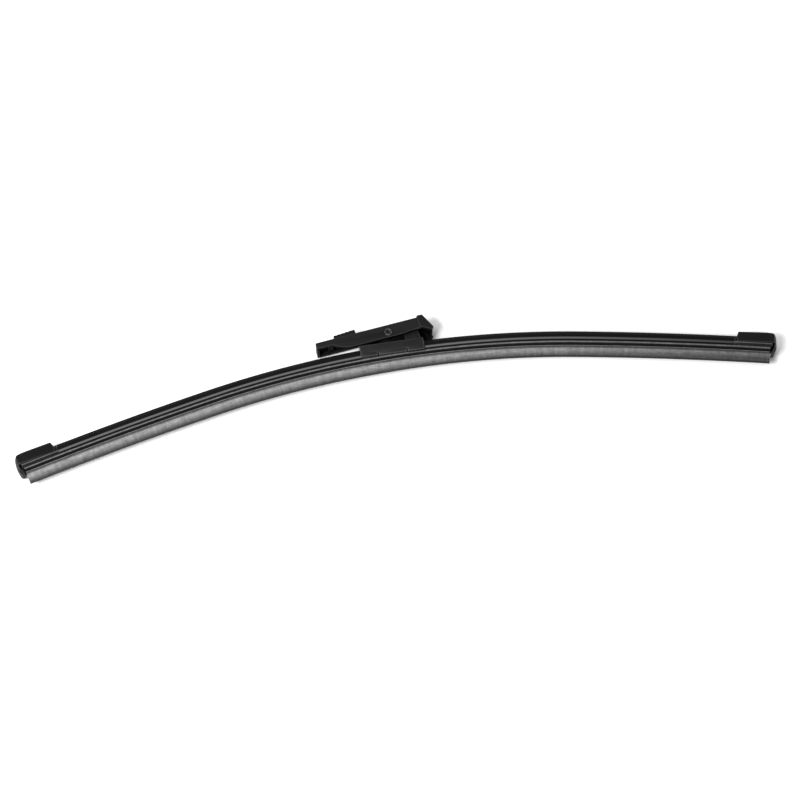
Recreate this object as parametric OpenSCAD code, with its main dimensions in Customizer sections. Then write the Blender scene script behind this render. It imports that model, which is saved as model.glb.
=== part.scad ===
// Rear beam wiper blade, lying on its side as it rests on a flat surface.
// The strip is drawn in its own plane: x runs along the chord, y runs from the lip to the back,
// z runs across the strip, and y = 0 is the rail line at the middle of the blade.

/* [Arch] */
// Length of the rubber along the arch, from the middle to one end
rubber_half = 169.5; // [150:0.1:260]
// Radius of the rail line over the middle of the blade
mid_radius = 447; // [380:1:900]
// Radius of the rail line toward both ends
outer_radius = 1516; // [1000:1:3000]
// Length of the middle arc, from the middle to one end
mid_half = 83; // [60:1:110]

/* [Wiping rubber] */
// Thickness of the lip at its wiping edge
lip_edge_t = 0.8; // [0.5:0.05:1.2]
// Thickness of the lip at its root
lip_root_t = 3.5; // [2.5:0.1:4.2]
// Height of the lip
lip_h = 3.9; // [3:0.1:6]
// Width of the shoulder above the lip
shoulder_w = 4.4; // [4.3:0.1:6]
// Height of the shoulder
shoulder_h = 1; // [0.6:0.1:1.6]
// Depth of the thin groove along the shoulder's side
shoulder_groove = 0.3; // [0.1:0.05:0.5]
// Thickness of the flexing neck
neck_t = 1; // [0.6:0.1:1.6]
// Height of the flexing neck
neck_h = 1; // [0.5:0.1:2]
// Width of the flange under the rails
flange_w = 6.4; // [5.6:0.1:7]
// Height of the flange under the rails
flange_h = 1; // [0.6:0.1:1.6]
// Thickness of the web between the rails
web_t = 2.7; // [1.6:0.1:3]
// Width of the head above the rails
head_w = 5.2; // [4:0.1:6]
// Height of the head above the rails
head_h = 1; // [0.6:0.1:1.6]

/* [Rails] */
// Width of one spring rail
rail_w = 3.1; // [2.6:0.1:4.5]
// Thickness of one spring rail
rail_t = 0.9; // [0.7:0.05:1.2]
// Crown of a rail's long edges
rail_edge = 0.12; // [0.05:0.01:0.2]
// How far each rail stops short of the rubber's end
rail_short = 0.5; // [0.2:0.1:2]
// Play between a rail and what holds it
rail_play = 0.05; // [0.03:0.01:0.1]

/* [Covers] */
// Wall of a cover outside the rail's edge
cover_wall = 1; // [0.8:0.1:1.6]
// Height of a cover above the rails
cover_h = 2.85; // [2.2:0.05:5]
// Width of a cover's top
cover_top_w = 8.8; // [6:0.1:9.4]
// Crown of a cover's top
cover_crown = 0.25; // [0.1:0.05:0.8]
// Thickness of the claw that hooks under a rail
claw_t = 0.6; // [0.4:0.05:0.9]
// How far the claw reaches under a rail
claw_reach = 0.7; // [0.4:0.05:0.9]
// How far the bead along a cover's lower edge stands out
bead_out = 0.2; // [0.1:0.05:0.4]
// Gap between a cover's end and the base
cover_base_gap = 0.5; // [0.4:0.1:2]
// Gap between a cover's end and the end cap
cover_cap_gap = 0.1; // [0.1:0.05:1]

/* [End caps] */
// Length of a cap's raised body along the strip
cap_body_l = 18.2; // [14:0.1:26]
// Length of the flush skirt at a cap's inner end
cap_skirt_l = 1.3; // [0.8:0.1:3]
// Width of a cap across its sides
cap_w = 11.9; // [11.7:0.1:14]
// Angle by which a cap's raised body is turned up from the strip's end
cap_turn = 1.8; // [0:0.1:2.5]
// Height of a cap's top above the cover's top
cap_rise = 2.45; // [0.8:0.05:3]
// Crown of a cap's top across the strip
cap_crown = 0.4; // [0.1:0.1:1]
// How far the raised body's inner end slopes in over its height
cap_bevel = 0.9; // [0.3:0.1:1.4]
// Radius of the raised body's top, along the strip
cap_top_r = 42; // [36:1:300]
// Distance from a cap's end to the highest place of its top
cap_top_mid = 11; // [8:0.1:13]
// Thickness of a cap's end wall
cap_wall = 1.2; // [0.8:0.1:1.3]
// Radius of the end wall's bulge seen from the side
cap_bulge_r = 7.4; // [7.2:0.1:10]
// Radius of the end wall's bulge seen from above
cap_plan_r = 10.7; // [9:0.1:16]
// Room between the rubber's end and the end wall's inner face
cap_room = 2; // [1.9:0.1:4]
// Height of the end wall's lower edge above the lip's edge
cap_wall_lift = 4.2; // [3.9:0.1:5]
// Height of the bulge's furthest point above the rail line
cap_bulge_h = 1.2; // [0:0.1:1.8]
// Width of the end wall's lower edge
cap_tongue_w = 6; // [4:0.1:9]

/* [Connector base] */
// Distance of the pivot from the blade's middle
pivot_x = 0.3; // [-2:0.1:2]
// Length of the base ahead of the pivot
base_front_l = 14.1; // [13:0.1:17]
// Length of the base behind the pivot
base_rear_l = 14.5; // [13:0.1:17]
// Angle by which the base's outside leans down toward its rear
base_lean = 1.2; // [0:0.1:1.4]
// Width of the base at its top
base_top_w = 12.6; // [11.4:0.1:13.4]
// Width of the base at its belt
base_belt_w = 13; // [12.6:0.1:16]
// Width of the base at its foot
base_foot_w = 11.8; // [11.4:0.1:12.4]
// Height of the base's top above the rail line
base_top = 4.05; // [3.4:0.05:4.4]
// Height of the base's belt above the rail line
base_belt = 1.1; // [0.6:0.05:2]
// Thickness of the base's claws under the rails
base_claw_t = 0.65; // [0.5:0.05:0.9]
// Length of each end claw along the blade
base_claw_l = 7.5; // [5:0.1:10]
// Width of the slit beside each claw
base_slit = 0.6; // [0.4:0.1:1.2]
// Height of the slit beside each claw
base_slit_h = 1.3; // [0.8:0.1:1.8]
// Width of the post between the adapter's cheeks
post_w = 6.8; // [5:0.1:8]
// Width of the post's thin web
post_web_w = 3.2; // [2:0.1:4.5]
// Radius of the post's boss round the pivot
boss_r = 2.4; // [2.2:0.1:3]
// Distance from the pivot to the start of the rear block
block_start = 7; // [5:0.1:9]
// Height of the rear block's top above the rail line
block_top = 9.3; // [7:0.1:9.8]
// How far the rear block's end slopes in over its height
block_slope = 1; // [0.3:0.1:2]

/* [Adapter] */
// Height of the pivot above the rail line
pivot_h = 9.65; // [9.2:0.05:12]
// Angle of the adapter to the base, as it lies
adapter_angle = 6; // [-4:0.1:9]
// Outer width of the adapter's cheeks
adapter_w = 9.6; // [9:0.1:11]
// Thickness of each cheek
cheek_t = 1.1; // [0.8:0.05:1.2]
// Thickness of the top plate
plate_t = 1.2; // [0.9:0.1:1.4]
// Radius of the top plate's long edges
edge_r = 0.5; // [0.3:0.1:0.8]
// Height of the adapter's top above the pivot
adapter_top = 3.7; // [3.5:0.05:5]
// Distance from the pivot to the nose's end
nose_l = 32.7; // [30:0.1:40]
// Depth of the nose's side walls below the top
nose_h = 3; // [2.3:0.05:3.2]
// Depth of the cheeks below the pivot
cheek_drop = 2.55; // [2.3:0.05:2.8]
// Radius of the near cheek's front curve
near_front_r = 14; // [8:0.5:20]
// Radius of the far cheek's front curve
far_front_r = 6; // [5:0.5:14]
// Distance from the pivot to where the near cheek reaches full depth
near_cheek_l = 16.5; // [13:0.1:18]
// Distance from the pivot to where the far cheek reaches full depth
far_cheek_l = 8; // [5:0.1:13]
// Depth of the cheeks below the pivot at the rear
rear_drop = 2; // [1.5:0.1:2.2]
// Distance from the pivot to where the cheeks begin to rise to the rear depth
rise_start = 6; // [4:0.1:8]
// Distance from the pivot to where the rear depth starts
rear_start = 10.2; // [9:0.1:12]

/* [Hood] */
// Distance from the pivot to the raised band's start at the top
hood_start = 14.1; // [13:0.1:16]
// Length of the raised band along the adapter
hood_l = 2.6; // [1.8:0.1:4]
// How far the raised band stands out
hood_out = 0.6; // [0.2:0.1:0.8]
// Depth of the hood below the pivot
hood_drop = 4.3; // [3.2:0.1:4.6]
// How far the hood's end leans out from top to bottom
hood_lean = 3.4; // [1:0.1:5]
// Thickness of the hood's end wall
hood_wall = 1.1; // [0.8:0.1:1.6]
// How deep the end wall is set in between the hood's sides
hood_inset = 0.6; // [0.3:0.1:1]

/* [Lock tongue] */
// Distance from the pivot to the tongue's free end
tongue_end = 13.7; // [12:0.1:16]
// Distance from the pivot to the tongue's hinge
tongue_root = 26; // [24:0.1:28]
// Width of the tongue
tongue_w = 5.6; // [4:0.1:6]
// Width of the slot round the tongue
tongue_slot = 0.5; // [0.3:0.1:0.8]
// Length of the button on the tongue
button_l = 10.2; // [8:0.1:11]
// Height of the button at its front
button_low = 2.1; // [1:0.05:2.3]
// Height of the button at its latch face
button_high = 2.75; // [2.4:0.05:3.4]
// Number of grip grooves across the button
button_grooves = 5; // [3:1:7]
// Width of one grip groove
groove_w = 0.4; // [0.2:0.1:0.8]
// Depth of one grip groove
groove_d = 0.15; // [0.1:0.05:0.4]
// Radius of the tongue's hinge bead
bead_r = 0.55; // [0.45:0.05:0.6]
// Play of the hinge bead in its groove
bead_play = 0.05; // [0.03:0.01:0.1]

/* [Pivot rivet] */
// Diameter of the rivet's shank
rivet_d = 2.8; // [2.2:0.1:3.2]
// Diameter of the rivet's rolled ends
rivet_head_d = 3.7; // [3.4:0.1:5]
// Height of a rolled end over the cheek
rivet_head_h = 0.35; // [0.2:0.05:0.45]
// Diameter of the hole in the rivet's end
rivet_hole_d = 1.7; // [1:0.1:2]
// Depth of the hole in the rivet's end
rivet_hole_h = 1.2; // [0.5:0.1:2.5]
// Radial play of the rivet in the base
rivet_play = 0.05; // [0.03:0.01:0.1]

/* [Hidden] */
$fn = 64;
// Fragments of a full turn, for the long arcs of the strip
arc_fn = 1440;
// An outer arc of the strip starts this far inside the middle arc, and is this much slimmer
arc_lap = 0.5;
arc_step = 0.02;
// A little extra that cutting shapes reach past what they cut
past = 1;

// Heights along the strip's section, from the rail line
rail_top = rail_t / 2;
groove_top = rail_top + rail_play;
head_top = groove_top + head_h;
flange_low = -groove_top - flange_h;
neck_low = flange_low - neck_h;
shoulder_low = neck_low - shoulder_h;
lip_edge = shoulder_low - lip_h;

// Places of the rails across the strip
rail_in = web_t / 2 + rail_play;
rail_out = rail_in + rail_w;
hold_out = rail_out + rail_play;
claw_in = rail_out - claw_reach;

// Outline of the covers across the strip
cover_half = hold_out + cover_wall;
cover_top = rail_top + cover_h;
claw_low = -groove_top - claw_t;

// Stations along the strip, from the middle
rail_half = rubber_half - rail_short;
wall_in = rubber_half + cap_room;
cap_end = wall_in + cap_wall;
cap_in = cap_end - cap_body_l;
claw_end = rubber_half + cap_room / 3;
skirt_in = cap_in - cap_skirt_l;
cover_far = skirt_in - cover_cap_gap;

// Heights of a cap above the rail line
cap_top = cover_top + cap_rise;
cap_roof = cap_top + cap_crown;
wall_low = lip_edge + cap_wall_lift;
cap_belt = rail_top + (cover_top - rail_top) / 5;
cap_step = rail_top - rail_play;

// Bevel at a cap's outer end
cap_corner = 1;

// Angles and points of the arch
mid_angle = mid_half / mid_radius * 180 / PI;
function arch_angle(s) = mid_angle + (s - mid_half) / outer_radius * 180 / PI;
outer_centre = [(mid_radius - outer_radius) * sin(mid_angle),
                (mid_radius - outer_radius) * cos(mid_angle) - mid_radius];
function outer_point(s) = outer_centre + outer_radius * [sin(arch_angle(s)), cos(arch_angle(s))];

// How the blade lies: on the base's belt and on both caps' sides
cap_touch = outer_point(cap_end - cap_bulge_r / 2)[1] + cap_belt;
lie_angle = atan((base_belt_w - cap_w) / 2 / (base_belt - cap_touch));
lie_lift = base_belt_w / 2 * cos(lie_angle) - base_belt * sin(lie_angle);

// How far the arch drops from the middle to the base's end
base_half = max(base_front_l, base_rear_l) + abs(pivot_x);
end_drop = mid_radius * (1 - cos(base_half / mid_radius * 180 / PI));

// Outline of the adapter, from its pivot
cheek_in = adapter_w / 2 - cheek_t;
nose_low = adapter_top - nose_h;
plate_low = adapter_top - plate_t;
hood_top_end = hood_start + hood_l;
hood_end = hood_top_end + hood_lean;
hood_corner = 0.9;
hood_low = [hood_start + 2 * hood_out, -rear_drop];
hood_far_low = [hood_start + 2 * hood_out, -hood_drop];

// Hinge of the lock tongue, in a pad under the top plate
pad_l = 3;
pad_h = 4 * bead_r;
bead_y = adapter_top - pad_h / 2;
neck_room = bead_r * 1.6;

// Play of the rivet in the cheeks, where it is riveted fast
rivet_seat = 0.02;

// The blade's middle in y, once it lies
lip_edge_y = outer_point(rubber_half)[1] + lip_edge * cos(arch_angle(rubber_half));
back_y = pivot_h + hood_top_end * sin(adapter_angle) + (adapter_top + hood_out) * cos(adapter_angle);
back_z = adapter_w / 2 + hood_out;
lie_middle = (lip_edge_y * cos(lie_angle) - lip_edge_t / 2 * sin(lie_angle)
    + back_y * cos(lie_angle) + back_z * sin(lie_angle)) / 2;

// Moves the strip's plane to where the blade lies on the surface
module lie_down() {
    translate([0, -lie_middle, lie_lift]) rotate([lie_angle, 0, 0]) children();
}

// Moves shapes drawn round the pivot to their place over the base
module at_pivot() {
    translate([pivot_x, pivot_h, 0]) rotate([0, 0, adapter_angle]) children();
}

// Sweeps a section, drawn as [height, width], along the middle arc
module mid_arc(from_s, to_s) {
    turn = (to_s - from_s) / mid_radius * 180 / PI;
    translate([0, -mid_radius, 0]) rotate([0, 0, 90 - to_s / mid_radius * 180 / PI])
        rotate_extrude(angle = turn, $fn = arc_fn) translate([mid_radius, 0]) children();
}

// Sweeps a section along the outer arc on the right
module outer_arc(from_s, to_s) {
    turn = arch_angle(to_s) - arch_angle(from_s);
    translate(outer_centre) rotate([0, 0, 90 - arch_angle(to_s)])
        rotate_extrude(angle = turn, $fn = arc_fn) translate([outer_radius, 0]) children();
}

// Sweeps a section along the whole arch, the first child in the middle and the second outside it
module whole_arch(half_l) {
    mid_arc(-mid_half, mid_half) children(0);
    for (side = [0, 1]) mirror([side, 0, 0]) outer_arc(mid_half - arc_lap, half_l) children(1);
}

// Places shapes drawn at the arch's tangent at a station of the right side
module at_station(s) {
    translate(outer_point(s)) rotate([0, 0, -arch_angle(s)]) children();
}

// A section that is the same to both sides of the blade's plane, from the points of one side
module both_sides(points) {
    other = [for (i = [len(points) - 1 : -1 : 0]) [points[i][0], -points[i][1]]];
    polygon(concat(points, other));
}

// The wiping rubber: lip, shoulder, neck, flange, web between the rails, and head
module rubber_section(slimmer) {
    groove_mid = (neck_low + shoulder_low) / 2;
    groove_half = shoulder_h / 6;
    shoulder_side = shoulder_w / 2 - slimmer;
    groove_floor = shoulder_side - shoulder_groove;
    neck_side = neck_t / 2 - slimmer;
    flange_side = flange_w / 2 - slimmer;
    web_side = web_t / 2 - slimmer;
    head_side = head_w / 2 - slimmer;
    corner = head_h / 4;
    both_sides([
        [lip_edge + slimmer, lip_edge_t / 2 - slimmer],
        [shoulder_low + slimmer, lip_root_t / 2 - slimmer],
        [shoulder_low + slimmer, shoulder_side],
        [groove_mid - groove_half, shoulder_side],
        [groove_mid - groove_half, groove_floor],
        [groove_mid + groove_half, groove_floor],
        [groove_mid + groove_half, shoulder_side],
        [neck_low - slimmer, shoulder_side],
        [neck_low - slimmer, neck_side],
        [flange_low + slimmer, neck_side],
        [flange_low + slimmer, flange_side - corner],
        [flange_low + slimmer + corner, flange_side],
        [-groove_top - slimmer, flange_side],
        [-groove_top - slimmer, web_side],
        [groove_top + slimmer, web_side],
        [groove_top + slimmer, head_side],
        [head_top - slimmer - corner, head_side],
        [head_top - slimmer, head_side - corner]]);
}

module wiper_rubber() {
    color("dimgray") lie_down() whole_arch(rubber_half) {
        rubber_section(0);
        rubber_section(arc_step);
    }
}

// A rail's section, upward and across, with crowned edges as on rolled spring strip
module rail_section(slimmer) {
    top = rail_top - slimmer;
    inner = rail_in + slimmer;
    outer = rail_out - slimmer;
    polygon([
        [-top, inner + rail_edge],
        [-top, outer - rail_edge],
        [0, outer],
        [top, outer - rail_edge],
        [top, inner + rail_edge],
        [0, inner]]);
}

// One spring rail, on the near side of the blade's plane
module rail() {
    whole_arch(rail_half) {
        rail_section(0);
        rail_section(arc_step);
    }
}

module rail_front() {
    color("slategray") lie_down() rail();
}

module rail_rear() {
    color("slategray") lie_down() mirror([0, 0, 1]) rail();
}

// The room that the rails and the rubber's head take inside a cover, a cap or the base
module held_room(wider) {
    head_half = head_w / 2 + rail_play + wider;
    deep = groove_top + flange_h + claw_t + past;
    claw_edge = claw_in + wider;
    room_half = hold_out + wider;
    room_low = -groove_top - wider;
    room_high = groove_top + wider;
    both_sides([
        [-deep, claw_edge + rail_edge],
        [room_low, claw_edge],
        [room_low, room_half - rail_edge],
        [0, room_half],
        [room_high, room_half - rail_edge],
        [room_high, head_half + rail_play],
        [head_top + rail_play + wider, head_half]]);
}

// Outline of a cover: claws under the rails, a bead, sides with a small step above their middle
// and a crowned top
module cover_outline(slimmer) {
    step_in = bead_out / 2;
    side_step = (rail_top + cover_top) / 2 + step_in;
    half = cover_half - slimmer;
    top_half = cover_top_w / 2 - slimmer;
    slope_half = (half - bead_out + top_half) / 2;
    top = cover_top - slimmer;
    both_sides([
        [claw_low + slimmer, half - claw_t],
        [-groove_top, half - bead_out / 4],
        [0, half],
        [bead_out, half - bead_out],
        [side_step - step_in, slope_half + step_in],
        [side_step, slope_half],
        [top - edge_r / 2, top_half],
        [top, top_half - edge_r / 2],
        [top + cover_crown, 0]]);
}

// One cover, on the right, from the given station near the base to the cap
module cover(near) {
    difference() {
        mid_arc(near, mid_half) cover_outline(0);
        mid_arc(near - past, mid_half + past) held_room(0);
    }
    difference() {
        outer_arc(mid_half - arc_lap, cover_far) cover_outline(arc_step);
        outer_arc(mid_half - past, cover_far + past) held_room(arc_step);
    }
}

module cover_left() {
    near = base_front_l - pivot_x + cover_base_gap;
    color("#1c1d1e") lie_down() mirror([1, 0, 0]) cover(near);
}

module cover_right() {
    near = base_rear_l + pivot_x + cover_base_gap;
    color("#1c1d1e") lie_down() cover(near);
}

// Side view of a cap's bulging end, as a full circle behind its furthest point
module cap_bulge() {
    translate([-cap_bulge_r, cap_bulge_h]) circle(cap_bulge_r, $fn = 128);
}

// Side view of a cap's raised body, from the end wall's furthest point back
module cap_body_side() {
    bulge_in = cap_bulge_r - sqrt(pow(cap_bulge_r, 2) - pow(cap_roof - cap_bulge_h, 2));
    corner = bulge_in + cap_corner;
    intersection() {
        polygon([[-cap_body_l, cap_step], [0, cap_step], [0, cap_roof - corner],
            [-corner, cap_roof], [-cap_body_l + cap_bevel, cap_roof],
            [-cap_body_l, cap_top - cap_rise]]);
        translate([-cap_top_mid, cap_roof - cap_top_r]) circle(cap_top_r, $fn = 720);
        union() {
            cap_bulge();
            translate([-cap_body_l, cap_step]) square([cap_body_l - cap_bulge_r, cap_roof]);
        }
    }
}

// Side view of a cap's end wall, which hangs below the body
module cap_wall_side() {
    difference() {
        intersection() {
            cap_bulge();
            translate([-cap_bulge_r, wall_low]) square([cap_bulge_r, cap_belt - wall_low]);
        }
        translate([-cap_wall, 0]) cap_bulge();
    }
}

// View of a cap from above, along the strip and across, with its bulging end
module cap_plan() {
    translate([-cap_plan_r, 0]) circle(cap_plan_r, $fn = 128);
    translate([-cap_body_l, -cap_w]) square([cap_body_l - cap_plan_r, 2 * cap_w]);
}

// Front view of a cap, upward and across: its body and the tongue of its end wall
module cap_front() {
    both_sides([
        [wall_low, cap_tongue_w / 2 - edge_r],
        [wall_low + edge_r, cap_tongue_w / 2],
        [claw_low, cover_half - claw_t],
        [cap_step, cap_w / 2 - bead_out],
        [cap_belt, cap_w / 2],
        [cap_top - cap_rise, cap_w / 2 - cap_crown],
        [cap_top - cap_crown, cap_w / 2 - 2 * cap_crown],
        [cap_top, cap_w / 2 - 3 * cap_crown],
        [cap_roof, 0]]);
}

// One end cap, on the right: a raised body, a flush skirt with claws and a bulging end wall
module end_cap() {
    difference() {
        union() {
            at_station(cap_end) rotate([0, 0, cap_turn]) intersection() {
                linear_extrude(2 * cap_w, center = true) union() {
                    cap_body_side();
                    cap_wall_side();
                }
                rotate([90, 0, 0]) linear_extrude(2 * (cap_roof - lip_edge), center = true)
                    cap_plan();
                translate([-cap_body_l, 0, 0]) rotate([90, 0, 90]) linear_extrude(cap_body_l)
                    cap_front();
            }
            outer_arc(skirt_in, claw_end) cover_outline(arc_step);
        }
        outer_arc(skirt_in - past, claw_end - cap_room / 6) held_room(arc_step);
        outer_arc(claw_end - past, claw_end + rail_play) translate([wall_low, -claw_in])
            square([-groove_top - wall_low, 2 * claw_in]);
    }
}

module end_cap_left() {
    color("#26282a") lie_down() mirror([1, 0, 0]) end_cap();
}

module end_cap_right() {
    color("#26282a") lie_down() end_cap();
}

// The base's section, upward and across
module base_section() {
    foot = -groove_top - base_claw_t - end_drop;
    both_sides([
        [foot, base_foot_w / 2],
        [base_belt, base_belt_w / 2],
        [base_top - edge_r / 2, base_top_w / 2],
        [base_top, base_top_w / 2 - edge_r / 2]]);
}

// The base's post in the side view, from the pivot: a web that rises to it, and the rear block
module post_web() {
    low = base_top - pivot_h - past;
    polygon([[-3 * boss_r, low], [-boss_r, 0], [boss_r, 0],
        [block_start + past, block_top - pivot_h - past], [block_start + past, low]]);
}

module rear_block() {
    low = base_top - pivot_h - past;
    top = block_top - pivot_h;
    block_end = base_rear_l - edge_r / 2;
    polygon([[block_start, low], [block_start + edge_r / 2, top],
        [block_end - block_slope, top - edge_r], [block_end, low]]);
}

// One slit through the base's sides, beside a claw that ends at the given place
module claw_slit(from_x) {
    foot = -groove_top - base_claw_t - end_drop;
    translate([from_x, foot - past, -base_belt_w])
        cube([base_slit, base_slit_h + past, 2 * base_belt_w]);
}

// The base: a saddle over both rails with a claw at each corner, and the post for the adapter
module connector_base() {
    front_x = pivot_x - base_front_l;
    rear_x = pivot_x + base_rear_l;
    open_from = front_x + base_claw_l;
    open_to = rear_x - base_claw_l;
    color("#2f3133") lie_down() difference() {
        union() {
            translate([pivot_x, 0, 0]) rotate([0, 0, -base_lean]) translate([-base_front_l, 0, 0])
                rotate([90, 0, 90]) linear_extrude(base_front_l + base_rear_l) base_section();
            translate([pivot_x, pivot_h, 0]) {
                linear_extrude(post_web_w, center = true) post_web();
                linear_extrude(post_w, center = true) rear_block();
                cylinder(h = post_w, r = boss_r, center = true);
            }
        }
        mid_arc(front_x - past, rear_x + past) held_room(0);
        mid_arc(open_from, open_to) translate([-base_top, -hold_out])
            square([base_top, 2 * hold_out]);
        claw_slit(open_from);
        claw_slit(open_to - base_slit);
        translate([pivot_x, pivot_h, 0])
            cylinder(h = post_w + past, r = rivet_d / 2 + rivet_play, center = true);
    }
}

// One cheek in the side view, with the nose's side wall: where its full depth starts ahead of the
// pivot, and the radius of the curve that leads to it
module cheek_side(full_l, front_r) {
    translate([-nose_l, nose_low]) square([nose_l + hood_start + hood_out, nose_h]);
    polygon([[-full_l, nose_low + past], [-full_l, -cheek_drop], [rise_start, -cheek_drop],
        [rear_start, -rear_drop], [hood_low[0], -rear_drop], [hood_low[0], nose_low + past]]);
    intersection() {
        translate([-full_l, front_r - cheek_drop]) circle(front_r, $fn = 128);
        translate([-full_l - front_r, -cheek_drop])
            square([front_r, cheek_drop + nose_low + past / 2]);
    }
}

// The hood in the side view, down to its rounded corner, with its lower edge from the given point
module hood_side(low) {
    top = adapter_top + hood_out;
    polygon([
        [hood_start, adapter_top],
        [hood_start + hood_out, top],
        [hood_top_end, top],
        [hood_end, -rear_drop - past],
        [hood_end, hood_corner - hood_drop],
        [hood_end - hood_corner, -hood_drop],
        low,
        [hood_low[0] - past, -rear_drop]]);
}

// The room inside the adapter, in the side view
module adapter_room() {
    polygon([
        [-nose_l + cheek_t, -adapter_top - hood_drop],
        [-nose_l + cheek_t, plate_low],
        [hood_top_end - hood_wall, plate_low],
        [hood_end - hood_inset - hood_wall, -rear_drop - past],
        [hood_end - hood_inset - hood_wall, -adapter_top - hood_drop]]);
}

// What is cut from the hood's end, in the side view, to set its wall in below the top plate
module hood_recess() {
    bend = -rear_drop - past;
    lean = hood_lean / (adapter_top + hood_out - bend);
    polygon([
        [hood_end - lean * (plate_low - bend) - hood_inset, plate_low],
        [hood_end - hood_inset, bend],
        [hood_end - hood_inset, bend - hood_drop],
        [hood_end + past, bend - hood_drop],
        [hood_end + past, plate_low]]);
}

// The hinge of the tongue: a pad under the top plate with a groove for the bead
module tongue_pad() {
    translate([-tongue_root - pad_l / 2, adapter_top - pad_h])
        square([pad_l, pad_h]);
}

// The adapter: a channel with two cheeks, a shallow nose, a raised hood and the tongue's slot
module adapter() {
    half = adapter_w / 2;
    slot_w = tongue_w + 2 * tongue_slot;
    color("#303234") lie_down() at_pivot() difference() {
        union() {
            difference() {
                union() {
                    intersection() {
                        union() {
                            linear_extrude(half) cheek_side(near_cheek_l, near_front_r);
                            mirror([0, 0, 1]) linear_extrude(half)
                                cheek_side(far_cheek_l, far_front_r);
                        }
                        translate([-nose_l, 0, 0]) rotate([90, 0, 90])
                            linear_extrude(nose_l + hood_end) adapter_front(half, adapter_top);
                    }
                    intersection() {
                        union() {
                            linear_extrude(adapter_w) hood_side(hood_low);
                            mirror([0, 0, 1]) linear_extrude(adapter_w) hood_side(hood_far_low);
                        }
                        translate([-nose_l, 0, 0]) rotate([90, 0, 90])
                            linear_extrude(nose_l + hood_end)
                            adapter_front(half + hood_out, adapter_top + hood_out);
                    }
                }
                linear_extrude(2 * cheek_in, center = true) adapter_room();
                linear_extrude(2 * (cheek_in + hood_out), center = true) hood_recess();
            }
            linear_extrude(2 * cheek_in + cheek_t, center = true) tongue_pad();
        }
        translate([-tongue_root + neck_room, adapter_top - pad_h, -slot_w / 2])
            cube([tongue_root - neck_room - tongue_end + tongue_slot, pad_h + past, slot_w]);
        translate([-tongue_root, bead_y, 0])
            cylinder(h = slot_w, r = bead_r + bead_play, center = true);
        translate([-tongue_root, bead_y - neck_room / 2, -slot_w / 2])
            cube([pad_l, neck_room, slot_w]);
        cylinder(h = 2 * adapter_w, r = rivet_d / 2 + rivet_seat, center = true);
    }
}

// The adapter's front view, upward and across, with rounded long edges at the top
module adapter_front(half, top) {
    for (side = [-1, 1])
        translate([top - edge_r, side * (half - edge_r)]) circle(edge_r, $fn = 32);
    translate([-adapter_top - hood_drop, -half])
        square([adapter_top + hood_drop + top - edge_r, 2 * half]);
    translate([0, edge_r - half]) square([top, 2 * (half - edge_r)]);
}

// The lock tongue in the side view: a bead, a thin neck, the plate and the ramped button
module tongue_side() {
    plate_start = -tongue_root + pad_l / 2 + tongue_slot;
    button_start = -tongue_end - button_l;
    translate([-tongue_root, bead_y - neck_room / 4])
        square([plate_start + tongue_root + past, neck_room / 2]);
    translate([plate_start, plate_low]) square([-tongue_end - plate_start, plate_t]);
    polygon([
        [button_start, adapter_top - past / 2],
        [button_start, adapter_top + button_low - edge_r / 2],
        [button_start + edge_r / 2, adapter_top + button_low],
        [-tongue_end - edge_r, adapter_top + button_high],
        [-tongue_end - edge_r / 2, adapter_top + button_high - edge_r / 2],
        [-tongue_end, adapter_top - past / 2]]);
}

// The lock tongue, sprung up through the top plate
module lock_tongue() {
    groove_pitch = (button_l - 2 * edge_r) / button_grooves;
    rise = (button_high - button_low) / button_l;
    color("#37393b") lie_down() at_pivot() difference() {
        union() {
            linear_extrude(tongue_w, center = true) tongue_side();
            translate([-tongue_root, bead_y, 0]) cylinder(h = tongue_w, r = bead_r, center = true);
        }
        for (i = [0 : button_grooves - 1]) {
            along = groove_pitch * (i + 0.5) + edge_r;
            translate([-tongue_end - button_l + along, adapter_top + button_low + rise * along, 0])
                cube([groove_w, 2 * groove_d, 2 * tongue_w], center = true);
        }
    }
}

// The rivet's outline: a shank with both ends rolled over round a blind hole
module rivet_outline() {
    half = adapter_w / 2;
    head = rivet_head_d / 2;
    roll = rivet_head_h / 2;
    top = half + rivet_head_h;
    end = [[rivet_d / 2, half], [head, half], [head, half + roll], [head - roll, top],
        [rivet_hole_d / 2 + roll, top], [rivet_hole_d / 2, top - roll],
        [rivet_hole_d / 2, top - rivet_hole_h], [0, top - rivet_hole_h]];
    other = [for (i = [len(end) - 1 : -1 : 0]) [end[i][0], -end[i][1]]];
    polygon(concat(end, other));
}

// The pivot rivet
module pivot_rivet() {
    color("silver") lie_down() at_pivot() rotate_extrude() rivet_outline();
}

wiper_rubber();
rail_front();
rail_rear();
cover_left();
cover_right();
end_cap_left();
end_cap_right();
connector_base();
adapter();
lock_tongue();
pivot_rivet();
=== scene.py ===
"""Rear beam wiper blade on a white surface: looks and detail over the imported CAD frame."""

import math

import bmesh
import bpy
from mathutils import Matrix, Vector


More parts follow.
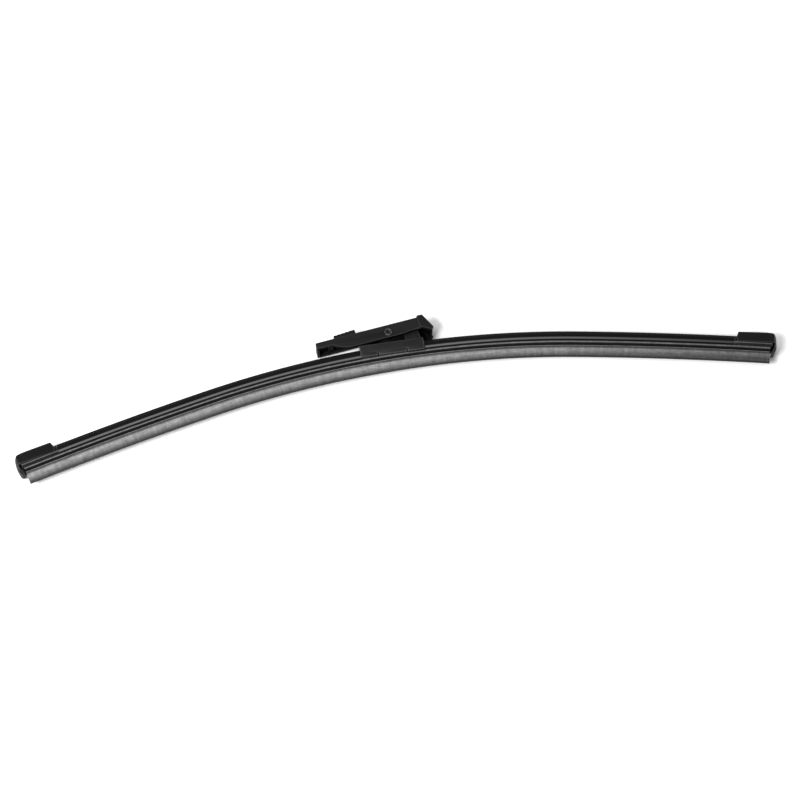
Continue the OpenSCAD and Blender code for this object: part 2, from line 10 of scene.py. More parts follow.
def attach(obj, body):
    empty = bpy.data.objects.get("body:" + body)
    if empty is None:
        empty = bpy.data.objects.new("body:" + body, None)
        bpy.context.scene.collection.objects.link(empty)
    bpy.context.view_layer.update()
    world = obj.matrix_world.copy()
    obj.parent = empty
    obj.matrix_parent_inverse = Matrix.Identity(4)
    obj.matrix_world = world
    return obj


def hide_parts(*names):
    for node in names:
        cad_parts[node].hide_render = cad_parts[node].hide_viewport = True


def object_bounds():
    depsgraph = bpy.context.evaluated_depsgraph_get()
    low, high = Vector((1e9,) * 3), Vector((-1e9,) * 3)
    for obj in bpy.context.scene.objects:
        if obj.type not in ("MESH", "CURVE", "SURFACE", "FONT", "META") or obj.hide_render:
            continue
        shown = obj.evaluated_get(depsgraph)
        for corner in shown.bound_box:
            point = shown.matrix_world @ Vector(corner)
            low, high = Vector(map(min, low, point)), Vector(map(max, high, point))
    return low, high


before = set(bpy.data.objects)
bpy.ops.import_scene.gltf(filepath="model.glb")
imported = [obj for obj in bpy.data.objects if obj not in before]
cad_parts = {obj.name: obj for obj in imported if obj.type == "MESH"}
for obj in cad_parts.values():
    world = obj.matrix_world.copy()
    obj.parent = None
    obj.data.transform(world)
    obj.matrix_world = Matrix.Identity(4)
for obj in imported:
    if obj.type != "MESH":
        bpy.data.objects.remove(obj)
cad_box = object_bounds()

MM = 0.001

# How the strip's own plane lies on the surface: it leans about X and is then shifted, in mm
LIE_ANGLE = math.asin(0.0211256)
LIE_SHIFT = Vector((0.0, 8.73527, 6.47531))

# The arch of the rail line, and the stations where the pieces on it end, in mm
MID_RADIUS = 447.0
OUTER_RADIUS = 1516.0
MID_HALF = 83.0
RUBBER_HALF = 169.5
RAIL_HALF = 169.0
COVER_NEAR_LEFT = 13.5
COVER_NEAR_RIGHT = 15.3
COVER_FAR = 153.1

# On a moulding: the angles, in degrees, above which an edge is broken and is shaded sharp
EDGE_ANGLE = 32.0
SHARP_ANGLE = 38.0

# The path that sections are swept along, in mm from the middle, and its number of points
PATH_HALF = 172.0
PATH_POINTS = 173

# The lip: the height of its root, its depth, how far its tip bends to the side that shows, and
# the station where the bend starts and the length over which it grows, in mm
LIP_ROOT = -3.5
LIP_DEPTH = 4.1
LIP_BEND = 0.7
BEND_START = -10.0
BEND_REACH = 60.0

# Camera: angles in degrees, distance and shifts in mm, focal length and picture in pixels
CAMERA_AZIMUTH = -10.0956
CAMERA_ELEVATION = 65.0
CAMERA_DISTANCE = 1000.0
CAMERA_RIGHT = 3.882
CAMERA_UP = -19.689
FOCAL_PIXELS = 2238.97
PICTURE_PIXELS = 800.0
SENSOR_WIDTH = 36.0

# The lamp's place and size in metres and its power in watts, and the level of the light all round
KEY_PLACE = (-0.56, -0.41, 0.95)
KEY_SIZE = (0.5, 0.3)
KEY_POWER = 16.7
SKY_LIGHT = 0.22

# From the middle of the white surface to its sides, in metres
FLOOR_REACH = 4.0


def lay(point):
    """A point of the strip's plane, in mm, in the row frame, in metres."""
    turned = Matrix.Rotation(LIE_ANGLE, 3, "X") @ Vector(point)
    return (turned + LIE_SHIFT) * MM


def lay_direction(direction):
    """A direction in the strip's plane, in the row frame."""
    return Matrix.Rotation(LIE_ANGLE, 3, "X") @ Vector(direction)


# ---------------------------------------------------------------- camera


def make_camera():
    """The photograph's camera, solved in the strip's plane."""
    azimuth = math.radians(CAMERA_AZIMUTH)
    elevation = math.radians(CAMERA_ELEVATION)
    back = Vector((
        math.sin(azimuth) * math.cos(elevation),
        -math.cos(azimuth) * math.cos(elevation),
        math.sin(elevation),
    ))
    right = Vector((math.cos(azimuth), math.sin(azimuth), 0.0))
    up = back.cross(right)
    place = back * CAMERA_DISTANCE + right * CAMERA_RIGHT + up * CAMERA_UP
    data = bpy.data.cameras.new("camera")
    data.sensor_width = SENSOR_WIDTH
    data.sensor_fit = "HORIZONTAL"
    data.lens = FOCAL_PIXELS * SENSOR_WIDTH / PICTURE_PIXELS
    data.clip_start = 0.01
    data.clip_end = 50.0
    camera = bpy.data.objects.new("camera", data)
    bpy.context.scene.collection.objects.link(camera)
    axes = Matrix((lay_direction(right), lay_direction(up), lay_direction(back))).transposed()
    camera.matrix_world = Matrix.Translation(lay(place)) @ axes.to_4x4()
    bpy.context.scene.camera = camera


make_camera()
bpy.context.scene.view_settings.view_transform = "Standard"


# ---------------------------------------------------------------- node helpers


class Nodes:
    """A node tree under construction, with short calls for the nodes that it needs."""

    def __init__(self, owner, output):
        owner.use_nodes = True
        self.tree = owner.node_tree
        self.tree.nodes.clear()
        self.output = self.add(output)

    def add(self, kind, **values):
        node = self.tree.nodes.new(kind)
        for key, value in values.items():
            setattr(node, key, value)
        return node

    def link(self, source, target):
        self.tree.links.new(source, target)

    def fill(self, socket, value):
        """Gives a socket a number, or links it to another node's output."""
        if isinstance(value, (int, float)):
            socket.default_value = value
        else:
            self.link(value, socket)

    def math(self, operation, first, second=0.5, third=0.5):
        node = self.add("ShaderNodeMath", operation=operation)
        for socket, value in zip(node.inputs, (first, second, third)):
            self.fill(socket, value)
        return node.outputs["Value"]

    def span(self, value, low, high, to_low, to_high):
        """The value's place between low and high, as a place between to_low and to_high."""
        node = self.add("ShaderNodeMapRange")
        node.inputs["From Min"].default_value = low
        node.inputs["From Max"].default_value = high
        node.inputs["To Min"].default_value = to_low
        node.inputs["To Max"].default_value = to_high
        self.link(value, node.inputs["Value"])
        return node.outputs["Result"]

    def seen_ray(self):
        """1 for a ray from the camera, a mirror or glass, and 0 for light that is scattered."""
        path = self.add("ShaderNodeLightPath")
        seen = self.math("MAXIMUM", path.outputs["Is Camera Ray"], path.outputs["Is Glossy Ray"])
        return self.math("MAXIMUM", seen, path.outputs["Is Transmission Ray"])


class Surface(Nodes):
    """A material under construction."""

    def __init__(self, name):
        self.material = bpy.data.materials.new(name)
        super().__init__(self.material, "ShaderNodeOutputMaterial")

    def object_coordinates(self, scale=(1, 1, 1)):
        coordinates = self.add("ShaderNodeTexCoord")
        mapping = self.add("ShaderNodeMapping")
        mapping.inputs["Scale"].default_value = scale
        self.link(coordinates.outputs["Object"], mapping.inputs["Vector"])
        return mapping.outputs["Vector"]

    def place_along(self):
        """The place along the blade, in metres from its middle."""
        node = self.add("ShaderNodeSeparateXYZ")
        self.link(self.object_coordinates(), node.inputs["Vector"])
        return node.outputs["X"]

    def attribute(self, name):
        return self.add("ShaderNodeAttribute", attribute_name=name).outputs["Fac"]

    def folded(self, value):
        """Runs from 0 at the section's top to 1 at its foot, down either side."""
        aside = self.math("ABSOLUTE", self.math("MULTIPLY_ADD", value, 2.0, -1.0))
        return self.math("SUBTRACT", 1.0, aside)

    def noise(self, vector, scale, detail=3.0, roughness=0.5):
        node = self.add("ShaderNodeTexNoise")
        node.inputs["Scale"].default_value = scale
        node.inputs["Detail"].default_value = detail
        node.inputs["Roughness"].default_value = roughness
        self.link(vector, node.inputs["Vector"])
        return node.outputs["Fac"]

    def stretched_noise(self, along, around, layer, detail, roughness=0.5):
        """Noise with its own scale along a strip and round its section."""
        place = self.vector(self.math("MULTIPLY", self.attribute("along"), along),
                            self.math("MULTIPLY", self.attribute("around"), around), layer)
        return self.noise(place, 1.0, detail, roughness)

    def ramp(self, value, stops):
        """Grey levels between stops of (position, level)."""
        node = self.add("ShaderNodeValToRGB")
        band = node.color_ramp
        while len(band.elements) < len(stops):
            band.elements.new(0.5)
        for element, (position, level) in zip(band.elements, stops):
            element.position = position
            element.color = (level, level, level, 1.0)
        self.link(value, node.inputs["Fac"])
        return node.outputs["Color"]

    def openness(self, reach):
        """1 on an open face and less in a gap or recess, within reach in metres."""
        node = self.add("ShaderNodeAmbientOcclusion", samples=12)
        node.inputs["Distance"].default_value = reach
        return node.outputs["AO"]

    def edges(self, reach):
        """1 on an edge that stands out and 0 on a face, from the room inside the piece."""
        node = self.add("ShaderNodeAmbientOcclusion", samples=16, inside=True, only_local=True)
        node.inputs["Distance"].default_value = reach
        return self.span(node.outputs["AO"], 0.97, 0.72, 0.0, 1.0)

    def vector(self, x, y, z):
        node = self.add("ShaderNodeCombineXYZ")
        for socket, value in zip(node.inputs, (x, y, z)):
            self.fill(socket, value)
        return node.outputs["Vector"]

    def tint(self, level, colour):
        """A grey level times a colour."""
        node = self.add("ShaderNodeMix", data_type="RGBA", blend_type="MULTIPLY")
        node.inputs["Factor"].default_value = 1.0
        self.link(level, node.inputs[6])
        node.inputs[7].default_value = (*colour, 1.0)
        return node.outputs[2]

    def bump(self, height, strength, distance):
        node = self.add("ShaderNodeBump")
        node.inputs["Strength"].default_value = strength
        node.inputs["Distance"].default_value = distance
        self.link(height, node.inputs["Height"])
        return node.outputs["Normal"]

    def finish(self, colour, roughness, normal, specular):
        """Ends the material with a shader that takes these."""
        shader = self.add("ShaderNodeBsdfPrincipled")
        shader.inputs["Specular IOR Level"].default_value = specular
        self.link(colour, shader.inputs["Base Color"])
        self.link(roughness, shader.inputs["Roughness"])
        self.link(normal, shader.inputs["Normal"])
        self.link(shader.outputs["BSDF"], self.output.inputs["Surface"])
        return self.material


# ---------------------------------------------------------------- finishes


def moulded_plastic(name, level, edge_scuff_and_highlight):
    """Black moulded plastic: eroded grain, flow clouds, scuffs, broken edges lightened by scuffing
    and a painted highlight, and painted shade in gaps and recesses.
    """
    s = Surface(name)
    place = s.object_coordinates()
    clouds = s.noise(place, 160.0, 4.0)
    grain = s.noise(place, 5200.0, 2.0, 0.6)
    drawn_out = s.noise(s.object_coordinates((1.0, 5.0, 2.5)), 420.0, 5.0)
    scuffs = s.span(drawn_out, 0.55, 0.75, 0.0, 1.0)
    shade = s.span(clouds, 0.3, 0.7, level * 0.85, level * 1.15)
    # Broken edges are lightened: partly scuffing, partly a painted highlight.
    edge = s.edges(0.0006)
    marks_and_painted_light = s.math("MULTIPLY_ADD", scuffs, level * 0.5, shade)
    marks_and_painted_light = s.math("MULTIPLY_ADD", edge, level * edge_scuff_and_highlight, marks_and_painted_light)
    # Painted shade: darker in gaps and recesses, where shade falls.
    level_with_painted_shade = s.math("MULTIPLY", marks_and_painted_light, s.span(s.openness(0.007), 0.45, 0.88, 0.12, 1.0))
    colour = s.tint(level_with_painted_shade, (1.0, 1.0, 1.02))
    gloss = s.span(s.noise(place, 700.0, 3.0), 0.3, 0.7, 0.44, 0.56)
    normal = s.bump(grain, 0.2, 0.00005)
    return s.finish(colour, gloss, normal, specular=0.1)


def extruded_cover(name, lines):
    """Satin black cover: drawn lines along it, a grey painted highlight along its bead, and
    painted shade toward one end.
    """
    s = Surface(name)
    around = s.attribute("around")
    drawn = s.stretched_noise(9.0, 260.0, 0.0, 3.0)
    blotches = s.noise(s.object_coordinates(), 90.0, 4.0)
    # A painted highlight: a grey line along the bead.
    bead_highlight = s.ramp(s.folded(around), lines)
    level = s.span(blotches, 0.3, 0.7, 0.0035, 0.0055)
    # Painted shade: darker toward the right end, where the light falls off.
    painted_falloff = s.span(s.place_along(), 0.03, 0.15, 1.0, 0.43)
    marks_and_painted_light = s.math("MULTIPLY", bead_highlight, s.span(drawn, 0.2, 0.8, 0.8, 1.2))
    colour = s.tint(s.math("MULTIPLY", s.math("ADD", level, marks_and_painted_light), painted_falloff), (1.0, 1.0, 1.02))
    gloss = s.span(drawn, 0.3, 0.7, 0.40, 0.52)
    fine = s.noise(s.object_coordinates(), 4200.0, 2.0)
    height = s.math("ADD", s.math("MULTIPLY", drawn, 0.7), s.math("MULTIPLY", fine, 0.3))
    normal = s.bump(height, 0.25, 0.00006)
    return s.finish(colour, gloss, normal, specular=0.07)


def wiping_rubber(name, stops, end_shade_stops):
    """Rubber with a grey graphite coat on the lip and painted highlights on the head's edges,
    streaked, mottled, and with painted shade toward one end.
    """
    s = Surface(name)
    along = s.attribute("along")
    around = s.attribute("around")
    # Grey levels down the section: the lip's graphite coat, and painted highlights along the
    # head's edges.
    coat_and_highlights = s.ramp(s.folded(around), stops)
    # Painted shade: the lip darkens toward the right end, where the light and its sheen fall off.
    marks_and_painted_light = s.math("MULTIPLY", s.ramp(s.folded(around), end_shade_stops), s.span(along, 0.23, 0.335, 0.0, 1.0))
    painted_end_shade = s.math("MULTIPLY", s.math("SUBTRACT", 1.0, marks_and_painted_light), s.span(along, 0.2, 0.335, 1.0, 0.76))
    streaks = s.stretched_noise(600.0, 6.0, 0.0, 4.0, 0.7)
    mottle = s.stretched_noise(260.0, 70.0, 3.0, 5.0, 0.65)
    patch = s.math("MULTIPLY", s.span(streaks, 0.35, 0.65, 0.8, 1.2),
                   s.span(mottle, 0.35, 0.65, 0.74, 1.26))
    level = s.math("MULTIPLY", s.math("MULTIPLY", coat_and_highlights, painted_end_shade), patch)
    colour = s.tint(level, (1.0, 1.0, 1.01))
    gloss = s.span(mottle, 0.3, 0.7, 0.5, 0.66)
    dust = s.noise(s.object_coordinates(), 3600.0, 3.0)
    height = s.math("ADD", s.math("MULTIPLY", mottle, 0.6), s.math("MULTIPLY", dust, 0.4))
    normal = s.bump(height, 0.3, 0.00005)
    return s.finish(colour, gloss, normal, specular=0.2)


def spring_steel(name):
    """Rolled spring strip, blackened: fine lines along it, and stains."""
    s = Surface(name)
    rolled = s.stretched_noise(30.0, 300.0, 0.0, 4.0)
    stain = s.noise(s.object_coordinates(), 120.0, 4.0)
    colour = s.tint(s.span(stain, 0.3, 0.7, 0.012, 0.03), (1.0, 1.0, 1.0))
    gloss = s.span(rolled, 0.3, 0.7, 0.36, 0.5)
    normal = s.bump(rolled, 0.2, 0.00004)
    return s.finish(colour, gloss, normal, specular=0.2)


def rivet_steel(name, dark, bright):
    """Blackened steel with the marks of the rolling tool."""
    s = Surface(name)
    place = s.object_coordinates()
    marks = s.noise(place, 1500.0, 4.0, 0.7)
    sheltered = s.span(s.openness(0.0012), 0.55, 0.95, 0.15, 1.0)
    level = s.math("MULTIPLY", s.span(marks, 0.43, 0.6, dark, bright), sheltered)
    colour = s.tint(level, (1.0, 1.0, 1.0))
    gloss = s.span(marks, 0.3, 0.7, 0.35, 0.55)
    normal = s.bump(marks, 0.25, 0.00006)
    return s.finish(colour, gloss, normal, specular=0.2)


# ---------------------------------------------------------------- strip sections, in mm


def both_sides(points):
    """A section that is the same to both sides, from one side's (height, width) points."""
    return points + [(h, -w) for h, w in reversed(points)]


def rounded(points, radius, steps=3):
    """A closed section with each corner rounded. radius is one number or one per corner."""
    count = len(points)
    radii = radius if isinstance(radius, list) else [radius] * count
    out = []
    for i, corner in enumerate(points):
        here = Vector(corner)
        before = Vector(points[i - 1]) - here
        after = Vector(points[(i + 1) % count]) - here
        if radii[i] <= 0 or before.length < 1e-6 or after.length < 1e-6:
            out.append(tuple(here))
            continue
        angle = before.angle(after)
        if angle > math.radians(176):
            out.append(tuple(here))
            continue
        cut = min(radii[i] / math.tan(angle / 2), before.length * 0.45, after.length * 0.45)
        start = here + before.normalized() * cut
        end = here + after.normalized() * cut
        for k in range(steps + 1):
            t = k / steps
            out.append(tuple(start * (1 - t) ** 2 + here * 2 * t * (1 - t) + end * t ** 2))
    return out


def rubber_outline():
    """The wiping rubber's section, from the head's top round to it again."""
    lip = [(-3.5, 1.75), (-3.9, 1.72), (-4.6, 1.6), (-5.5, 1.34), (-6.4, 0.95), (-7.2, 0.48),
           (-7.65, 0.38)]
    side = [
        (1.5, 2.35), (1.25, 2.6), (0.5, 2.6), (0.5, 1.35), (-0.5, 1.35), (-0.5, 3.2),
        (-1.25, 3.2), (-1.5, 2.95), (-1.5, 0.5), (-2.5, 0.5), (-2.5, 2.2),
        (-2.84, 2.2), (-2.84, 1.92), (-3.16, 1.92), (-3.16, 2.2), (-3.5, 2.2)] + lip
    return rounded([(1.5, 0.0)] + both_sides(side), 0.12, 2)


def cover_outline():
    """A cover's section: crowned top, stepped side, bead, claw and the room inside."""
    outside = [
        (3.55, 0.0), (3.3, 4.15), (3.05, 4.4), (2.02, 4.9), (1.92, 5.0), (0.2, 5.4), (0.0, 5.6),
        (-0.5, 5.55), (-1.1, 5.0)]
    claw = [(-1.1, 3.84), (-0.5, 3.73)]
    room = [(-0.5, 4.37), (0.0, 4.49), (0.5, 4.37), (0.5, 2.71), (1.55, 2.66)]
    side = [(h, w) for h, w in reversed(room)] + list(reversed(claw)) + list(reversed(outside))
    radii = [0.05] * len(room) + [0.1, 0.12] + [0.2, 0.15, 0.12, 0.15, 0.06, 0.06, 0.3, 0.15, 0.0]
    points = [(1.55, 0.0)] + side + [(h, -w) for h, w in reversed(side[:-1])]
    corners = [0.0] + radii + list(reversed(radii[:-1]))
    return rounded(points, corners, 3)


def rail_outline(side):
    """The spring strip's section, on one side of the web or the other."""
    section = [(-0.45, 1.52), (-0.45, 4.38), (0.0, 4.5), (0.45, 4.38), (0.45, 1.52), (0.0, 1.4)]
    return [(h, w * side) for h, w in section]


def shares_round(outline, wanted):
    """Where the outline passes the wanted points, from 0 at its start to 1 at its foot."""
    corners = [Vector(point) for point in outline]
    sides = list(zip(corners, corners[1:] + corners[:1]))
    total = sum((b - a).length for a, b in sides)
    shares = []
    for point in wanted:
        target = Vector(point)
        passed = 0.0
        best = (1e9, 0.0)
        for a, b in sides:
            length = (b - a).length
            if length > 1e-9:
                t = min(1.0, max(0.0, (target - a).dot(b - a) / length ** 2))
                best = min(best, ((a.lerp(b, t) - target).length, passed + t * length))
                passed += length
        shares.append(best[1] / total * 2)
    return shares


def painted(outline, marks):
    """Ramp stops from marks of (height, width, level) down the section's side."""
    shares = shares_round(outline, [(h, w) for h, w, _level in marks])
    return sorted((share, level) for share, (_h, _w, level) in zip(shares, marks))


# ---------------------------------------------------------------- sweeping the strip


def arch_point(s):
    """The rail line at a station from the blade's middle, in the strip's plane, in mm."""
    middle = MID_HALF / MID_RADIUS
    reach = abs(s)
    if reach < MID_HALF:
        angle = reach / MID_RADIUS
        x, y = MID_RADIUS * math.sin(angle), MID_RADIUS * (math.cos(angle) - 1)
    else:
        angle = middle + (reach - MID_HALF) / OUTER_RADIUS
        x = (MID_RADIUS - OUTER_RADIUS) * math.sin(middle) + OUTER_RADIUS * math.sin(angle)
        y = ((MID_RADIUS - OUTER_RADIUS) * math.cos(middle) - MID_RADIUS
             + OUTER_RADIUS * math.cos(angle))
    return Vector((math.copysign(x, s), y, 0.0))


def strip_path(name):
    """The rail line as a curve."""
    data = bpy.data.curves.new(name, "CURVE")
    data.dimensions = "3D"
    spline = data.splines.new("POLY")
    spline.points.add(PATH_POINTS - 1)
    for i, point in enumerate(spline.points):
        s = -PATH_HALF + 2 * PATH_HALF * i / (PATH_POINTS - 1)
        point.co = (*(arch_point(s) * MM), 1.0)
    path = bpy.data.objects.new(name, data)
    bpy.context.scene.collection.objects.link(path)
    return path


def section_curve(name, outline):
    """The section as a curve, turned so that heights point away from the arch's centre."""
    data = bpy.data.curves.new(name, "CURVE")
    data.dimensions = "2D"
    data.fill_mode = "NONE"
    spline = data.splines.new("POLY")
    spline.use_cyclic_u = True
    flat = [(-h * MM, -w * MM) for h, w in outline]
    area = sum(a[0] * b[1] - b[0] * a[1] for a, b in zip(flat, flat[1:] + flat[:1]))
    if area < 0:
        flat = [flat[0]] + flat[:0:-1]
    spline.points.add(len(flat) - 1)
    for point, (x, y) in zip(spline.points, flat):
        point.co = (x, y, 0.0, 1.0)
    section = bpy.data.objects.new(name, data)
    bpy.context.scene.collection.objects.link(section)
    return section


def sweep_tree():
    """Geometry nodes that sweep a section along a stretch of the strip and lay it down."""
    tree = bpy.data.node_groups.new("strip sweep", "GeometryNodeTree")
    face = tree.interface
    face.new_socket("Path", in_out="INPUT", socket_type="NodeSocketGeometry")
    for name, kind in (("Section", "NodeSocketObject"), ("Start", "NodeSocketFloat"),
                       ("End", "NodeSocketFloat"), ("Lean", "NodeSocketVector"),
                       ("Shift", "NodeSocketVector"), ("Finish", "NodeSocketMaterial")):
        face.new_socket(name, in_out="INPUT", socket_type=kind)
    face.new_socket("Strip", in_out="OUTPUT", socket_type="NodeSocketGeometry")
    nodes, links = tree.nodes, tree.links
    given = nodes.new("NodeGroupInput")
    result = nodes.new("NodeGroupOutput")
    trim = nodes.new("GeometryNodeTrimCurve")
    trim.mode = "LENGTH"
    links.new(given.outputs["Path"], trim.inputs["Curve"])
    starts = [s for s in trim.inputs if s.name == "Start" and s.enabled]
    ends = [s for s in trim.inputs if s.name == "End" and s.enabled]
    links.new(given.outputs["Start"], starts[-1])
    links.new(given.outputs["End"], ends[-1])
    upright = nodes.new("GeometryNodeSetCurveNormal")
    upright.mode = "Z_UP"
    links.new(trim.outputs["Curve"], upright.inputs["Curve"])

    def keep(geometry, parameter):
        capture = nodes.new("GeometryNodeCaptureAttribute")
        capture.capture_items.new("FLOAT", "value")
        spline = nodes.new("GeometryNodeSplineParameter")
        links.new(geometry, capture.inputs["Geometry"])
        links.new(spline.outputs[parameter], capture.inputs["value"])
        return capture.outputs["Geometry"], capture.outputs["value"]

    path, along = keep(upright.outputs["Curve"], "Length")
    info = nodes.new("GeometryNodeObjectInfo")
    links.new(given.outputs["Section"], info.inputs["Object"])
    section, around = keep(info.outputs["Geometry"], "Factor")
    sweep = nodes.new("GeometryNodeCurveToMesh")
    sweep.inputs["Fill Caps"].default_value = True
    links.new(path, sweep.inputs["Curve"])
    links.new(section, sweep.inputs["Profile Curve"])
    mesh = sweep.outputs["Mesh"]
    for name, value in (("along", along), ("around", around)):
        store = nodes.new("GeometryNodeStoreNamedAttribute")
        store.data_type = "FLOAT"
        store.domain = "POINT"
        store.inputs["Name"].default_value = name
        links.new(mesh, store.inputs["Geometry"])
        links.new(value, store.inputs["Value"])
        mesh = store.outputs["Geometry"]
    lie = nodes.new("GeometryNodeTransform")
    links.new(mesh, lie.inputs["Geometry"])
    links.new(given.outputs["Lean"], lie.inputs["Rotation"])
    links.new(given.outputs["Shift"], lie.inputs["Translation"])
    whole = nodes.new("GeometryNodeRealizeInstances")
    links.new(lie.outputs["Geometry"], whole.inputs["Geometry"])
    dress = nodes.new("GeometryNodeSetMaterial")
    links.new(whole.outputs["Geometry"], dress.inputs["Geometry"])
    links.new(given.outputs["Finish"], dress.inputs["Material"])
    links.new(dress.outputs["Geometry"], result.inputs["Strip"])
    return tree


SWEEP = sweep_tree()


def socket_id(tree, name):
    """The key under which a modifier holds the tree's input of this name."""
    return next(item.identifier for item in tree.interface.items_tree
                if item.item_type == "SOCKET" and item.in_out == "INPUT" and item.name == name)


def sweep_piece(name, outline, start, end, finish, sharp=40.0):
    """A strip piece between two stations, in mm from the blade's middle, as a plain mesh."""
    path = strip_path(name + "_path")
    section = section_curve(name + "_section", outline)
    modifier = path.modifiers.new("sweep", "NODES")
    modifier.node_group = SWEEP
    values = {
        "Section": section,
        "Start": (start + PATH_HALF) * MM,
        "End": (end + PATH_HALF) * MM,
        "Lean": (LIE_ANGLE, 0.0, 0.0),
        "Shift": tuple(LIE_SHIFT * MM),
        "Finish": finish,
    }
    for key, value in values.items():
        modifier[socket_id(SWEEP, key)] = value
    graph = bpy.context.evaluated_depsgraph_get()
    mesh = bpy.data.meshes.new_from_object(path.evaluated_get(graph))
    mesh.name = name
    for helper in (path, section):
        data = helper.data
        bpy.data.objects.remove(helper)
        bpy.data.curves.remove(data)
    piece = bpy.data.objects.new(name, mesh)
    bpy.context.scene.collection.objects.link(piece)
    smooth(mesh, sharp)
    return piece


def smooth(mesh, sharp):
    """Shades smooth, with an edge kept sharp above this angle in degrees."""
    mesh.shade_smooth()
    mesh.set_sharp_from_angle(angle=math.radians(sharp))


# ---------------------------------------------------------------- moulded pieces


def merged_copy(node, name):
    """A copy of a CAD node's mesh with its loose triangles joined into plain faces."""
    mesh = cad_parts[node].data.copy()
    mesh.name = name
    form = bmesh.new()
    form.from_mesh(mesh)
    bmesh.ops.remove_doubles(form, verts=form.verts, dist=2e-6)
    bmesh.ops.dissolve_limit(form, angle_limit=math.radians(1.0), verts=form.verts,
                             edges=form.edges)
    form.to_mesh(mesh)
    form.free()
    mesh.materials.clear()
    piece = bpy.data.objects.new(name, mesh)
    bpy.context.scene.collection.objects.link(piece)
    return piece


def round_edges(piece, width):
    """Breaks the mould's edges and leaves a plain mesh."""
    bevel = piece.modifiers.new("edges", "BEVEL")
    bevel.width = width * MM
    bevel.segments = 2
    bevel.limit_method = "ANGLE"
    bevel.angle_limit = math.radians(EDGE_ANGLE)
    bevel.miter_outer = "MITER_ARC"
    graph = bpy.context.evaluated_depsgraph_get()
    mesh = bpy.data.meshes.new_from_object(piece.evaluated_get(graph))
    old = piece.data
    piece.modifiers.clear()
    mesh.name = piece.name
    piece.data = mesh
    bpy.data.meshes.remove(old)
    smooth(mesh, SHARP_ANGLE)


def moulded_piece(node, finish, body, slot, width=0.14):
    """A CAD node's moulding with broken edges."""
    piece = merged_copy(node, node + "_moulding")
    piece.data.materials.append(finish)
    round_edges(piece, width)
    seat(piece, body, slot, node)
    return piece


def strip_place(point):
    """Height above the rail line, place across the strip and station of a point, in mm."""
    flat = Matrix.Rotation(-LIE_ANGLE, 3, "X") @ (Vector(point) / MM - LIE_SHIFT)
    middle = MID_HALF / MID_RADIUS
    radius, centre, passed = MID_RADIUS, Vector((0.0, -MID_RADIUS)), 0.0
    if abs(flat.x) >= MID_RADIUS * math.sin(middle):
        centre += (MID_RADIUS - OUTER_RADIUS) * Vector((math.sin(middle), math.cos(middle)))
        radius, passed = OUTER_RADIUS, MID_HALF - middle * OUTER_RADIUS
    arm = Vector((abs(flat.x), flat.y)) - centre
    station = passed + math.atan2(arm.x, arm.y) * radius
    return arm.length - radius, flat.z, math.copysign(station, flat.x)


def set_lip(rubber):
    """Bends the lip a little toward the side that shows, more and more past the middle."""
    up = lay_direction((0.0, 0.0, 1.0))
    for corner in rubber.data.vertices:
        height, _across, station = strip_place(corner.co)
        depth = max(0.0, (LIP_ROOT - height) / LIP_DEPTH)
        share = min(1.0, max(0.0, (station - BEND_START) / BEND_REACH))
        corner.co += up * (LIP_BEND * MM * depth ** 2 * share)


def paint_bead_highlight(piece, finish):
    """Gives a cap's bead, which runs on from the cover's, a lighter finish: a painted highlight.
    """
    piece.data.materials.append(finish)
    for face in piece.data.polygons:
        height, across, _station = strip_place(face.center)
        if -0.5 < height < 0.22 and abs(across) > 5.3 and face.area > 1e-7:
            face.material_index = 1


def seat(piece, body, slot, *nodes):
    """Puts a piece on its body, in the place of the CAD nodes named. The slot is not used."""
    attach(piece, body)
    if nodes:
        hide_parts(*nodes)


# ---------------------------------------------------------------- the blade


def make_strip():
    """The rubber, the covers and the rails, swept along the arch."""
    outline = rubber_outline()
    # Levels down the rubber's side: painted highlights on the flange and shoulder edges, then the
    # lip's grey graphite coat, darker toward its tip.
    marks = [
        (1.5, 0.5, 0.02), (-0.5, 3.05, 0.015), (-0.6, 3.2, 0.03), (-0.9, 3.2, 0.13),
        (-1.25, 3.2, 0.19), (-1.5, 2.95, 0.04), (-1.5, 2.4, 0.015), (-2.5, 2.0, 0.012),
        (-2.5, 2.2, 0.18), (-2.84, 2.2, 0.2), (-2.86, 2.1, 0.04), (-3.14, 2.1, 0.04),
        (-3.16, 2.2, 0.1), (-3.5, 2.2, 0.1), (-3.5, 1.85, 0.13), (-3.9, 1.72, 0.27),
        (-4.6, 1.6, 0.29), (-5.5, 1.34, 0.2), (-6.4, 0.95, 0.108), (-7.2, 0.48, 0.03),
        (-7.65, 0.3, 0.025)]
    # Where the lip is painted darker toward the right end: painted shade.
    marks_and_painted_light = [(1.5, 0.5, 0.0), (-3.5, 1.85, 0.0), (-4.2, 1.67, 0.4), (-5.5, 1.34, 0.6),
            (-6.0, 1.13, 0.58), (-6.9, 0.62, 0.0)]
    rubber = sweep_piece("wiping_rubber", outline, -RUBBER_HALF, RUBBER_HALF,
                         wiping_rubber("graphited rubber", painted(outline, marks),
                                       painted(outline, marks_and_painted_light)))
    set_lip(rubber)
    seat(rubber, "blade", "rubber", "wiper_rubber")

    outline = cover_outline()
    # Levels down the cover's side: a painted highlight along the bead, black elsewhere.
    marks = [(3.55, 0.1, 0.0), (0.05, 5.55, 0.0), (-0.2, 5.58, 0.12), (-0.68, 5.38, 0.12),
             (-0.98, 5.1, 0.0), (-1.1, 5.0, 0.0)]
    finish = extruded_cover("extruded cover", painted(outline, marks))
    left = sweep_piece("cover_left_extrusion", outline, -COVER_FAR, -COVER_NEAR_LEFT, finish)
    seat(left, "blade", "cover", "cover_left")
    right = sweep_piece("cover_right_extrusion", outline, COVER_NEAR_RIGHT, COVER_FAR, finish)
    seat(right, "blade", "cover", "cover_right")

    steel = spring_steel("spring steel")
    for node, side in (("rail_front", 1), ("rail_rear", -1)):
        rail = sweep_piece(node + "_strip", rail_outline(side), -RAIL_HALF, RAIL_HALF, steel, 20.0)
        seat(rail, "blade", "rail", node)


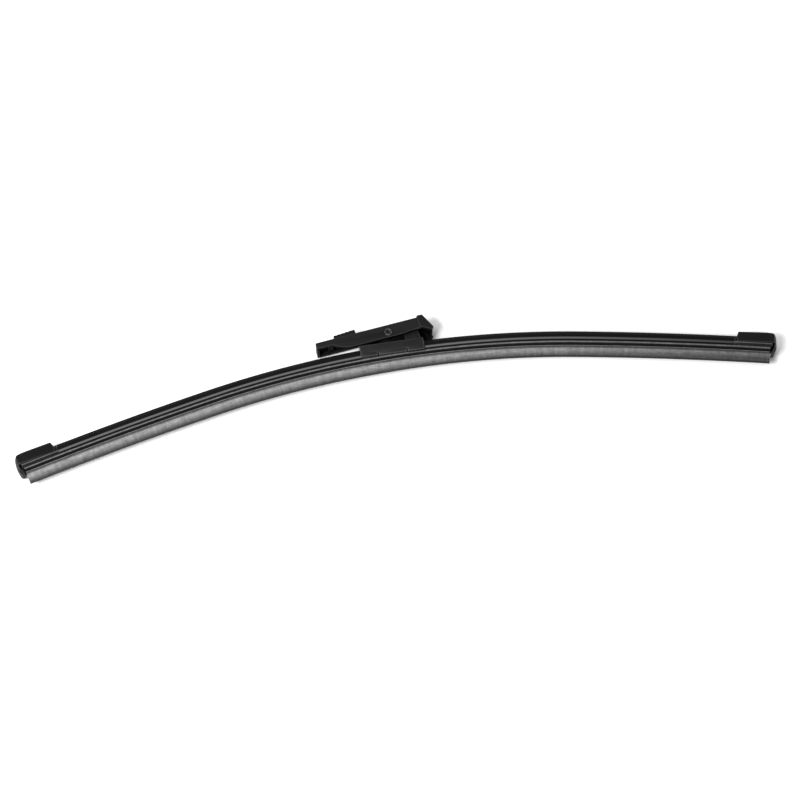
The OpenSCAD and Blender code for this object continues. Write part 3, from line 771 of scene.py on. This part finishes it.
def make_mouldings():
    """The caps, the base, the adapter with its tongue, and the rivet."""
    # The last number lightens broken edges: partly scuffing, partly a painted highlight.
    cap = moulded_plastic("cap plastic", 0.006, 5.0)
    # A far lighter plastic on the caps' bead: a painted highlight, like the cover's.
    bead = moulded_plastic("cap bead", 0.1, 0.0)
    for side in ("left", "right"):
        paint_bead_highlight(moulded_piece("end_cap_" + side, cap, "blade", "cap", 0.3), bead)
    base = moulded_plastic("base plastic", 0.017, 3.0)
    moulded_piece("connector_base", base, "blade", "base")
    adapter = moulded_plastic("adapter plastic", 0.010, 2.6)
    moulded_piece("adapter", adapter, "adapter_body", "adapter")
    moulded_piece("lock_tongue", adapter, "tongue", "adapter", 0.1)
    rivet = rivet_steel("rivet steel", 0.01, 0.11)
    moulded_piece("pivot_rivet", rivet, "adapter_body", "rivet", 0.12)


make_strip()
make_mouldings()


# ---------------------------------------------------------------- surface and light


def make_floor():
    """A matt white surface, over-exposed to white by a painted glow: strong where it is open,
    weaker in narrow gaps, so that the shadows near the blade stay.
    """
    mesh = bpy.data.meshes.new("floor")
    r = FLOOR_REACH
    mesh.from_pydata([(-r, -r, 0), (r, -r, 0), (r, r, 0), (-r, r, 0)], [], [(0, 1, 2, 3)])
    floor = bpy.data.objects.new("floor", mesh)
    bpy.context.scene.collection.objects.link(floor)
    floor.location.z = cad_box[0][2]
    s = Surface("white sweep")
    matt = s.add("ShaderNodeBsdfDiffuse")
    matt.inputs["Color"].default_value = (0.97, 0.97, 0.97, 1.0)
    glow = s.add("ShaderNodeEmission")
    # A painted glow, seen by the camera and in reflections but lighting nothing: strong where the
    # surface is open, weak in narrow gaps.
    glow_where_open = s.span(s.openness(0.012), 0.62, 0.9, 0.12, 0.5)
    s.link(s.math("MULTIPLY", s.seen_ray(), glow_where_open), glow.inputs["Strength"])
    both = s.add("ShaderNodeAddShader")
    s.link(matt.outputs["BSDF"], both.inputs[0])
    s.link(glow.outputs["Emission"], both.inputs[1])
    s.link(both.outputs["Shader"], s.output.inputs["Surface"])
    mesh.materials.append(s.material)


def make_world():
    """Soft light from all round, seen as white."""
    world = bpy.data.worlds.new("studio")
    bpy.context.scene.world = world
    s = Nodes(world, "ShaderNodeOutputWorld")
    background = s.add("ShaderNodeBackground")
    s.link(s.span(s.seen_ray(), 0.0, 1.0, SKY_LIGHT, 1.0), background.inputs["Strength"])
    s.link(background.outputs["Background"], s.output.inputs["Surface"])


def make_lamp():
    """One softbox, from the left, in front and above, aimed at the blade's middle."""
    data = bpy.data.lights.new("key", "AREA")
    data.shape = "RECTANGLE"
    data.size, data.size_y = KEY_SIZE
    data.energy = KEY_POWER
    lamp = bpy.data.objects.new("key", data)
    bpy.context.scene.collection.objects.link(lamp)
    lamp.location = KEY_PLACE
    lamp.rotation_euler = (-Vector(KEY_PLACE)).to_track_quat("-Z", "Y").to_euler()


make_floor()
make_world()
make_lamp()
